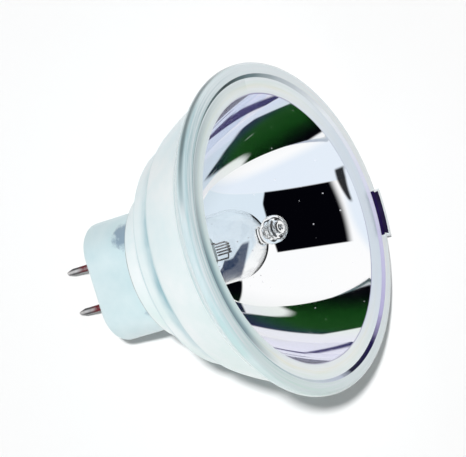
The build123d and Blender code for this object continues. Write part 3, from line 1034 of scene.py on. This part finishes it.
def wire_piece(name, route, radius, material, replaced, resolution):
    """A piece of round wire along a smooth route."""
    curve = bpy.data.curves.new(name + "_route", "CURVE")
    curve.dimensions = "3D"
    curve.bevel_depth = radius * MM
    curve.bevel_resolution = resolution
    curve.use_fill_caps = True
    spline = curve.splines.new("NURBS")
    spline.points.add(len(route) - 1)
    for point, place in zip(spline.points, route):
        point.co = (*(value * MM for value in place), 1)
    spline.order_u = 3
    spline.use_endpoint_u = True
    spline.resolution_u = 5
    carrier = bpy.data.objects.new(name + "_route", curve)
    bpy.context.scene.collection.objects.link(carrier)
    bpy.context.view_layer.update()
    mesh = bpy.data.meshes.new_from_object(carrier.evaluated_get(bpy.context.evaluated_depsgraph_get()))
    bpy.data.objects.remove(carrier)
    mesh.name = name
    mesh.materials.clear()
    mesh.shade_smooth()
    placed(name, mesh, [material], replaced)


def make_filament():
    """Flat tungsten coil of straight bars. One leg goes straight back, the other hooks round the coil."""
    top = COIL_HEIGHT / 2 - FILAMENT_DEPTH
    bottom = -COIL_HEIGHT / 2 - FILAMENT_DEPTH
    side = COIL_THICKNESS / 2
    left, right, leg_end = -coil_half_length, coil_half_length, -coil_leg_end_depth
    hook = left - COIL_HOOK
    route = [
        (left, 0, leg_end), (left, 0, leg_end + COIL_HOOK_BEND), (hook, 0, bottom - COIL_HOOK_BEND),
        (hook, 0, bottom), (hook, 0, top - COIL_HOOK_TOP[0]), (hook, side, top - COIL_HOOK_TOP[1]),
    ]
    bar = (top, top - COIL_BEND, bottom + COIL_BEND, bottom)
    for turn in range(COIL_TURNS):
        x = left + (turn + 0.5) * COIL_PITCH
        route += [(x, side, z) for z in bar]
        if turn < COIL_TURNS - 1:
            route += [(x, -side, z) for z in reversed(bar)]
    route += [(right, 0, bottom - drop) for drop in COIL_LEG_BEND] + [(right, 0, leg_end)]
    tungsten = bare_metal("tungsten", (0.44, 0.44, 0.45), (0.30, 0.30, 0.32), 0.42)
    wire_piece("filament_coil", route, COIL_WIRE / 2, tungsten, "filament", resolution=5)


def make_leads(metal):
    """Rods that carry the coil's legs down to the foils."""
    run = (FOIL_TOP_DEPTH - coil_leg_end_depth) / LEAD_STEPS
    depths = [coil_leg_end_depth + step * run for step in range(LEAD_STEPS + 1)]
    for side, name in SIDES:
        route = [(side * coil_half_length, 0, -depth) for depth in depths]
        wire_piece(f"lead_rod_{name}", route, LEAD_RADIUS, metal, f"lead_{name}", resolution=6)


def make_contact_pins(metal):
    """Two plated pins, each with a thin shank in the cement and a bullet tip."""
    tip = neck_end_depth + PIN_LENGTH
    section = rounded([
        (PIN_SHANK_RADIUS, -FOIL_END_DEPTH, 0),
        (PIN_SHANK_RADIUS, -cement_end_depth, 0),
        (PIN_RADIUS, -cement_end_depth, PIN_ROOT_ROUND),
        (PIN_RADIUS, -tip + PIN_TIP_LENGTH, PIN_TIP_SHOULDER),
        (PIN_TIP_RADIUS, -tip, PIN_TIP_ROUND),
        (PIN_TIP_END, -tip, 0),
    ])
    for side, name in SIDES:
        bm = bmesh.new()
        made = []
        for radius, height in section:
            points = round_ring(radius, height)[::COLUMNS // PIN_COLUMNS]
            made.append([bm.verts.new((x + side * PIN_X, y, z)) for x, y, z in points])
        for near, far in zip(made, made[1:]):
            band(bm, near, far, [0] * PIN_COLUMNS)
        bm.faces.new(made[0])
        bm.faces.new(made[-1])
        piece_from(bm, f"pin_{name}", [metal], f"contact_pin_{name}", sharp=40)


def make_cement(material):
    """Potting cement, dished between the walls and the pins, with an uneven face."""

    def uneven(points, lift):
        rough = []
        for x, y, z in points:
            grain = noise.fractal(Vector((x, y, z)) * CEMENT_GRAIN_SCALE, *CEMENT_GRAIN_DETAIL)
            height = grain * CEMENT_GRAIN - CEMENT_DISH
            climb = 0
            for side, _ in SIDES:
                from_pin = sqrt((x - side * PIN_X) ** 2 + y * y) - PIN_RADIUS
                climb += CEMENT_CLIMB * max(0.0, 1 - from_pin / CEMENT_CLIMB_REACH) ** 2
            rough.append((x, y, z + lift * (height + climb)))
        return rough

    def shrunk(points, share, lift):
        points = [(x * share, y * share, z) for x, y, z in points]
        return points if share == 1 else uneven(points, lift)

    throat, slot = round_ring(THROAT_RADIUS, -cement_top_depth), ring(SLOT, -cement_end_depth)
    inwards = [1 - step / CEMENT_RINGS for step in range(CEMENT_RINGS)]
    rings = [shrunk(throat, share, 1) for share in reversed(inwards)]
    rings += [round_ring(THROAT_RADIUS, -slot_start_depth), ring(SLOT, -slot_start_depth)]
    rings += [shrunk(slot, share, -1) for share in inwards]
    bm = bmesh.new()
    capped_loft(bm, rings)
    piece_from(bm, "cement_filling", [material], "cement", sharp=50)


make_reflector()
make_capsule()
make_filament()
molybdenum = bare_metal("molybdenum", (0.42, 0.42, 0.43), (0.30, 0.30, 0.32), 0.3)
make_leads(molybdenum)
make_contact_pins(pin_metal())
make_cement(potting_cement())
for foil in ("foil_left", "foil_right"):
    node = frame["nodes"][foil]
    node.data.materials.clear()
    node.data.materials.append(molybdenum)


# Table, light and camera

TABLE_HALF = 6.0

# The room that one turn in the mirror shows, by the sideways and lengthwise parts of the direction to
# each thing: a dark panel overhead with slanting sides, a dark strip behind it, a dark corner and a dim
# streak low in front, and a grey haze beside the panel
HORIZON = 0.02
SOFT_EDGE = 0.01
PANEL_LEFT, PANEL_LEFT_SLANT = -0.553, 0.40
PANEL_RIGHT, PANEL_RIGHT_SLANT = 0.38, 0.17
PANEL_FRONT, PANEL_BACK, PANEL_BACK_BOW = -0.24, 0.342, 0.2
PANEL_NOTCH, PANEL_NOTCH_SLANT = -0.386, -0.3
STRIP_MIDDLE, STRIP_SLANT, STRIP_HALF, STRIP_END_HALF = 0.408, 0.11, 0.024, 0.008
STRIP_LEFT, STRIP_FADE, STRIP_END, STRIP_SHADE = -0.55, -0.42, -0.10, 0.97
CORNER_LEFT, CORNER_LEFT_SLANT, CORNER_TOP, CORNER_LOW = 0.97, 0.565, -0.66, -0.1
STREAK_LEFT, STREAK_LEFT_SLANT, STREAK_RIGHT, STREAK_RIGHT_SLANT = -0.56, -0.84, -0.48, -0.35
STREAK_INNER, STREAK_TOP = 0.03, -0.4
HAZE_RIGHT, HAZE_SLANT, HAZE_TOP, HAZE_TURNED_END = -0.35, -0.69, 0.0, -0.2
BLUE_LEFT, BLUE_BACK = -0.86, PANEL_BACK + 0.03
# Limits between counts of turns in the mirror. Two, three and more turns show dark shapes of their own,
# drawn apart, which don't follow from the panel
ONE_TURN, TWO_TURNS, THREE_TURNS = 1.5, 2.5, 3.5
TWICE_MIDDLE, TWICE_SIDE, TWICE_CUT = -0.045, 0.675, -0.1
TWICE_FRONT = (
    (-0.75, -0.18), (-0.6, -0.28), (-0.52, -0.36), (-0.44, -0.42), (-0.36, -0.54),
    (-0.28, -0.50), (-0.2, -0.44), (-0.12, -0.37), (-0.04, -0.32), (0.04, -0.31),
    (0.12, -0.32), (0.2, -0.38), (0.28, -0.50), (0.37, -0.60), (0.65, -0.60),
)
TWICE_CORNER, TWICE_CORNER_LEFT, TWICE_CORNER_RIGHT = -0.545, 0.03, 0.32
THRICE_FRONT, THRICE_BOW, THRICE_BACK, THRICE_BACK_BOW = (-0.10, -0.05), (0.55, 0.25), 0.02, 0.25
OFTEN_SIDE, OFTEN_FRONT = 0.5, -0.2
ROOM_WHITE = (1.0, 1.0, 1.0)
ROOM_BLUE = (0.80, 0.87, 0.955)
ROOM_GREY = (0.72, 0.82, 0.90)
ROOM_DARK = (0.001, 0.001, 0.0025)
ROOM_STREAK = (0.035, 0.055, 0.11)
ROOM_LIGHT = 0.17

# The photograph's view, about the lamp's own axis
VIEW_AIM = (0.0, 0.0, -17.0)
VIEW_DISTANCE = 450.0
VIEW_TILT = radians(54.62)
VIEW_SIDE = radians(0.51)
VIEW_ROLL = radians(-16.98)
VIEW_FOCAL = 3032.0
VIEW_AIM_PIXEL = (201.4, 254.7)
PICTURE = (466, 457)
VIEW_NEAREST = 0.01
SENSOR = 36.0


def make_table():
    """White table top under the lamp."""
    half = TABLE_HALF
    mesh = bpy.data.meshes.new("table")
    corners = [(-half, -half, 0), (half, -half, 0), (half, half, 0), (-half, half, 0)]
    mesh.from_pydata(corners, [], [(0, 1, 2, 3)])
    mesh.materials.append(table_top())
    table = bpy.data.objects.new("table", mesh)
    bpy.context.scene.collection.objects.link(table)


def make_room():
    """White room with even light, and the dark shapes that each count of turns in the mirror shows."""
    world = bpy.data.worlds.new("white room")
    bpy.context.scene.world = world
    world.use_nodes = True
    tree = world.node_tree
    tree.nodes.clear()
    sideways, lengthwise, upwards = split(tree, add(tree, "ShaderNodeTexCoord").outputs["Generated"])
    path = add(tree, "ShaderNodeLightPath").outputs
    turns = path["Glossy Depth"]

    def past(value, edge, soft=SOFT_EDGE):
        return spanned(tree, value, edge - soft, edge + soft, smooth=True)

    def inverse(mask):
        return maths(tree, "SUBTRACT", 1.0, mask)

    def short_of(value, edge, soft=SOFT_EDGE):
        return inverse(past(value, edge, soft))

    def both(*masks):
        joined = masks[0]
        for mask in masks[1:]:
            joined = maths(tree, "MULTIPLY", joined, mask)
        return joined

    def slanted(value, along, slant):
        return maths(tree, "MULTIPLY_ADD", along, -slant, value)

    def away_from(value, middle):
        return maths(tree, "ABSOLUTE", maths(tree, "SUBTRACT", value, middle))

    above = past(upwards, HORIZON)
    squared = maths(tree, "MULTIPLY", sideways, sideways)

    # Seen by one turn in the mirror
    from_left = slanted(sideways, lengthwise, PANEL_LEFT_SLANT)
    from_right = slanted(sideways, lengthwise, PANEL_RIGHT_SLANT)
    panel = both(
        past(from_left, PANEL_LEFT), short_of(from_right, PANEL_RIGHT), above,
        past(slanted(lengthwise, sideways, PANEL_NOTCH_SLANT), PANEL_NOTCH), past(lengthwise, PANEL_FRONT),
        short_of(maths(tree, "MULTIPLY_ADD", squared, PANEL_BACK_BOW, lengthwise), PANEL_BACK, soft=0.025),
    )
    from_strip = away_from(slanted(lengthwise, sideways, STRIP_SLANT), STRIP_MIDDLE)
    strip_half = spanned(tree, sideways, STRIP_FADE, STRIP_END, STRIP_HALF, STRIP_END_HALF)
    strip = both(
        past(maths(tree, "SUBTRACT", strip_half, from_strip), 0.0, soft=0.008),
        past(sideways, STRIP_LEFT, soft=0.02), short_of(sideways, STRIP_END, soft=0.04), above,
    )
    corner = both(
        past(slanted(sideways, lengthwise, CORNER_LEFT_SLANT), CORNER_LEFT, soft=0.02),
        short_of(lengthwise, CORNER_TOP), past(upwards, CORNER_LOW),
    )
    panel_and_strip = maths(tree, "ADD", panel, maths(tree, "MULTIPLY", strip, STRIP_SHADE))
    once = maths(tree, "ADD", panel_and_strip, corner, clamp=True)
    streak = both(
        past(slanted(lengthwise, sideways, STREAK_LEFT_SLANT), STREAK_LEFT, soft=0.02),
        short_of(slanted(lengthwise, sideways, STREAK_RIGHT_SLANT), STREAK_RIGHT, soft=0.02),
        past(sideways, STREAK_INNER, soft=0.04), short_of(lengthwise, STREAK_TOP, soft=0.03), above,
        maths(tree, "LESS_THAN", turns, ONE_TURN),
    )

    # Seen by two turns
    twice_front = add(tree, "ShaderNodeFloatCurve", Value=spanned(tree, sideways, -1.0, 1.0))
    curve = twice_front.mapping.curves[0]
    curve.points[0].location = (0, 1 + TWICE_FRONT[0][1])
    curve.points[1].location = (1, 1 + TWICE_FRONT[-1][1])
    for place, front in TWICE_FRONT:
        curve.points.new((place + 1) / 2, front + 1)
    for point in curve.points:
        point.handle_type = "VECTOR"
    twice_front.mapping.update()
    from_front = maths(tree, "SUBTRACT", maths(tree, "ADD", lengthwise, 1.0), twice_front.outputs[0])
    cut = maths(tree, "MAXIMUM", maths(tree, "SUBTRACT", lengthwise, TWICE_CUT), 0.0)
    outwards = maths(tree, "ADD", away_from(sideways, TWICE_MIDDLE), cut)
    twice_panel = both(short_of(outwards, TWICE_SIDE, soft=0.025), past(from_front, 0.0, soft=0.04), above)
    twice_corner = both(
        short_of(lengthwise, TWICE_CORNER, soft=0.008), past(sideways, TWICE_CORNER_LEFT),
        short_of(sideways, TWICE_CORNER_RIGHT), above,
    )
    twice = maths(tree, "MAXIMUM", twice_panel, twice_corner)

    # Seen by three turns and by more
    to_right = past(sideways, 0.0, soft=0.02)
    bow = spanned(tree, to_right, 0.0, 1.0, *THRICE_BOW)
    edge = spanned(tree, to_right, 0.0, 1.0, *THRICE_FRONT)
    front_bow = maths(tree, "MULTIPLY_ADD", squared, bow, lengthwise)
    back_bow = maths(tree, "MULTIPLY_ADD", squared, THRICE_BACK_BOW, lengthwise)
    thrice = both(
        past(maths(tree, "SUBTRACT", front_bow, edge), 0.0, soft=0.02),
        short_of(back_bow, THRICE_BACK, soft=0.03), above,
    )
    to_side = maths(tree, "ABSOLUTE", sideways)
    often = both(
        short_of(to_side, OFTEN_SIDE, soft=0.05), short_of(lengthwise, OFTEN_FRONT, soft=0.03), above,
    )

    dark = once
    for count, shape in ((ONE_TURN, twice), (TWO_TURNS, thrice), (THREE_TURNS, often)):
        more = maths(tree, "GREATER_THAN", turns, count)
        dark = add(tree, "ShaderNodeMix", i0=more, i2=dark, i3=shape).outputs[0]
    beside_panel = both(short_of(from_left, PANEL_LEFT), past(sideways, BLUE_LEFT, soft=0.05))
    bluish = maths(tree, "MAXIMUM", beside_panel, past(lengthwise, BLUE_BACK, soft=0.03))
    turned_right = both(maths(tree, "GREATER_THAN", turns, ONE_TURN), past(sideways, HAZE_TURNED_END))
    hazy = both(
        past(from_left, PANEL_LEFT), short_of(lengthwise, HAZE_TOP),
        short_of(slanted(lengthwise, sideways, HAZE_SLANT), HAZE_RIGHT, soft=0.03),
        inverse(turned_right), above,
    )
    tone = ROOM_WHITE
    for share, colour in ((bluish, ROOM_BLUE), (hazy, ROOM_GREY), (streak, ROOM_STREAK), (dark, ROOM_DARK)):
        tone = blend(tree, share, tone, colour)
    mirrored = maths(tree, "ADD", path["Is Glossy Ray"], path["Is Transmission Ray"], clamp=True)
    visible = maths(tree, "ADD", mirrored, path["Is Camera Ray"], clamp=True)
    background = add(
        tree, "ShaderNodeBackground", Color=blend(tree, mirrored, ROOM_WHITE, tone),
        Strength=spanned(tree, visible, 0.0, 1.0, ROOM_LIGHT, 1.0),
    )
    add(tree, "ShaderNodeOutputWorld", Surface=background.outputs[0])


def make_camera():
    """Camera at the photograph's viewing angle."""
    away = Vector((sin(VIEW_SIDE), cos(VIEW_SIDE) * sin(VIEW_TILT), cos(VIEW_SIDE) * cos(VIEW_TILT)))
    eye = Vector(VIEW_AIM) + away * VIEW_DISTANCE
    mouth = Vector((0, 0, 1))
    along = (mouth - away * mouth.dot(away)).normalized()
    across = (-away).cross(along)
    right = along * cos(VIEW_ROLL) - across * sin(VIEW_ROLL)
    down = along * sin(VIEW_ROLL) + across * cos(VIEW_ROLL)
    off_right = PICTURE[0] / 2 - VIEW_AIM_PIXEL[0]
    off_down = PICTURE[1] / 2 - VIEW_AIM_PIXEL[1]
    ahead = (-away * VIEW_FOCAL + right * off_right + down * off_down).normalized()
    right = (right - ahead * right.dot(ahead)).normalized()
    up = right.cross(ahead)
    turn = Matrix((right, up, -ahead)).transposed()
    data = bpy.data.cameras.new("camera")
    data.sensor_width = SENSOR
    data.lens = SENSOR * VIEW_FOCAL / PICTURE[0]
    data.clip_start = VIEW_NEAREST
    camera = bpy.data.objects.new("camera", data)
    bpy.context.scene.collection.objects.link(camera)
    camera.matrix_world = lamp_place @ Matrix.Translation(eye * MM) @ turn.to_4x4()
    bpy.context.scene.camera = camera


def make_light(name, energy, spread, towards, shadow=True):
    """A distant soft light that the mirror and the glass don't show."""
    data = bpy.data.lights.new(name, "SUN")
    data.energy = energy
    data.angle = radians(spread)
    data.use_shadow = shadow
    light = bpy.data.objects.new(name, data)
    bpy.context.scene.collection.objects.link(light)
    light.rotation_mode = "QUATERNION"
    light.rotation_quaternion = Vector(towards).to_track_quat("Z", "Y")
    light.visible_glossy = False
    light.visible_transmission = False


make_table()
make_room()
make_light("key light", energy=2.65, spread=3.5, towards=(0.16, -0.015, 1.0))
make_light("side fill", energy=1.0, spread=15.0, towards=(-0.6, 0.6, 0.1), shadow=False)
make_camera()
bpy.context.scene.view_settings.view_transform = "Standard"

bpy.context.view_layer.update()
